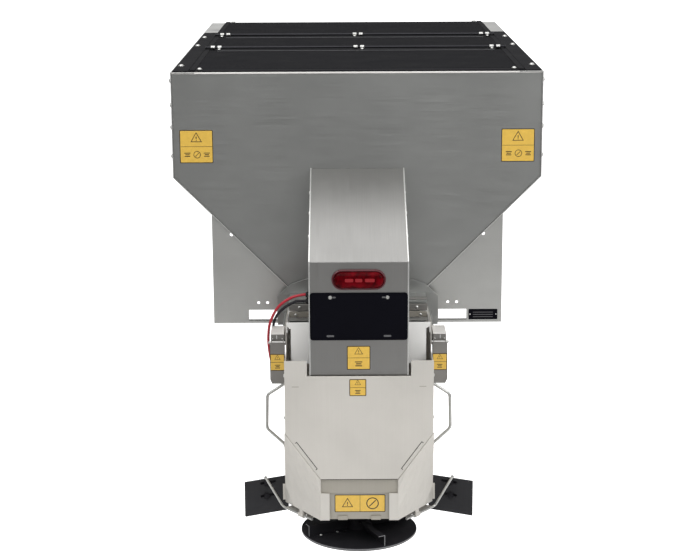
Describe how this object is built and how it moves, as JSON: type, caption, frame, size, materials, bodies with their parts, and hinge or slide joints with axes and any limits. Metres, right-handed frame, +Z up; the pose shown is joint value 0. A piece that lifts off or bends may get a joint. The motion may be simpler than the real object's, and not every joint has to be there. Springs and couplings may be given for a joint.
{
  "type": "salt spreader",
  "caption": "Stainless V-hopper salt spreader with floor auger, rear drive housing, tilting drop chute, spinner, side plates and hinged top lids; rests in a pick-up bed.",
  "frame": {"origin": "middle of the base frame's underside, on the truck bed", "axes": "+Y towards the cab along the auger, +X to the right seen from behind, +Z up"},
  "size_m": [1.22, 2.338, 1.505],
  "materials": {
    "hopper_steel": "satin brushed stainless",
    "chute_steel": "light satin stainless",
    "bright_steel": "bright drawn stainless",
    "cast_iron": "dark painted casting",
    "black_poly": "black moulded poly, slight gloss",
    "plate_black": "gloss black sheet",
    "rubber": "black rubber",
    "red_lens": "clear red moulded lens",
    "cable_red": "red insulation",
    "cable_black": "black insulation"
  },
  "bodies": {
    "base": {"hopper_side_left": "hopper_steel", "hopper_side_right": "hopper_steel", "hopper_rear_wall": "hopper_steel", "hopper_front_wall": "hopper_steel", "auger_trough": "hopper_steel", "inverted_vee": "hopper_steel", "hopper_cross_brace": "hopper_steel", "screen_rear": "bright_steel", "screen_front": "bright_steel", "frame_rail_left": "hopper_steel", "frame_rail_right": "hopper_steel", "rear_gusset_left": "hopper_steel", "rear_gusset_right": "hopper_steel", "front_gusset_left": "hopper_steel", "front_gusset_right": "hopper_steel", "bed_cross_member": "hopper_steel", "centre_cover": "black_poly", "rear_lid_hinge_rod": "bright_steel", "front_lid_hinge_rod": "bright_steel", "cover_strip_left": "black_poly", "cover_strip_right": "black_poly", "auger_front_bearing": "cast_iron", "gearbox_plate": "hopper_steel", "auger_gearbox": "cast_iron", "auger_motor": "cast_iron", "discharge_plate": "hopper_steel", "drive_housing": "hopper_steel", "tail_light_grommet": "rubber", "tail_light_lens": "red_lens", "number_plate": "plate_black", "hinge_bracket_left": "chute_steel", "hinge_bracket_right": "chute_steel", "pivot_pin_left": "bright_steel", "pivot_pin_right": "bright_steel", "power_cable_red": "cable_red", "power_cable_black": "cable_black"},
    "auger": {"auger_shaft": "bright_steel", "auger_flight": "bright_steel"},
    "lid_rear": {"rear_lid": "black_poly"},
    "lid_front": {"front_lid": "black_poly"},
    "chute": {"chute_shell": "chute_steel", "chute_front_panel": "chute_steel", "chute_lower_plate": "chute_steel", "chute_wing_left": "chute_steel", "chute_wing_right": "chute_steel", "chute_hanger_left": "chute_steel", "chute_hanger_right": "chute_steel", "grab_handle_left": "bright_steel", "grab_handle_right": "bright_steel", "latch_bracket_left": "chute_steel", "latch_bracket_right": "chute_steel", "spinner_motor_bracket": "hopper_steel", "spinner_motor": "cast_iron"},
    "latch_left": {"latch_lever_left": "hopper_steel"},
    "latch_right": {"latch_lever_right": "hopper_steel"},
    "flap_left": {"deflector_left": "bright_steel"},
    "flap_right": {"deflector_right": "bright_steel"},
    "skirt_left": {"side_plate_left": "black_poly"},
    "skirt_right": {"side_plate_right": "black_poly"},
    "spinner": {"spinner_disc": "black_poly"}
  },
  "joints": [
    {"name": "auger_spin", "type": "hinge", "parent": "base", "child": "auger", "pos_m": [0, 0, 0.106], "axis": [0, 1, 0], "continuous": true},
    {"name": "rear_lid_hinge", "type": "hinge", "parent": "base", "child": "lid_rear", "pos_m": [0, -0.254, 0.867], "axis": [-1, 0, 0], "range_deg": [0, 105]},
    {"name": "front_lid_hinge", "type": "hinge", "parent": "base", "child": "lid_front", "pos_m": [0, 0.238, 0.867], "axis": [1, 0, 0], "range_deg": [0, 105]},
    {"name": "chute_tilt", "type": "hinge", "parent": "base", "child": "chute", "pos_m": [0, -1.071, 0.085], "axis": [-1, 0, 0], "range_deg": [0, 42], "deforming": ["power_cable_red", "power_cable_black"]},
    {"name": "latch_left_pivot", "type": "hinge", "parent": "chute", "child": "latch_left", "pos_m": [-0.261, -1.205, 0.018], "axis": [-1, 0, 0], "range_deg": [0, 60]},
    {"name": "latch_right_pivot", "type": "hinge", "parent": "chute", "child": "latch_right", "pos_m": [0.261, -1.205, 0.018], "axis": [-1, 0, 0], "range_deg": [0, 60]},
    {"name": "deflector_left_pivot", "type": "hinge", "parent": "chute", "child": "flap_left", "pos_m": [-0.25, -1.198, -0.545], "axis": [-0.6421, 0.7666, 0], "range_deg": [0, 30]},
    {"name": "deflector_right_pivot", "type": "hinge", "parent": "chute", "child": "flap_right", "pos_m": [0.25, -1.198, -0.545], "axis": [-0.6421, -0.7666, 0], "range_deg": [0, 30]},
    {"name": "side_plate_left_slide", "type": "slide", "parent": "chute", "child": "skirt_left", "axis": [-0.9063, -0.4226, 0], "range_m": [0, 0.027]},
    {"name": "side_plate_right_slide", "type": "slide", "parent": "chute", "child": "skirt_right", "axis": [0.9063, -0.4226, 0], "range_m": [0, 0.027]},
    {"name": "spinner_spin", "type": "hinge", "parent": "chute", "child": "spinner", "pos_m": [0, -1.193, -0.62], "axis": [0, 0, 1], "continuous": true}
  ]
}
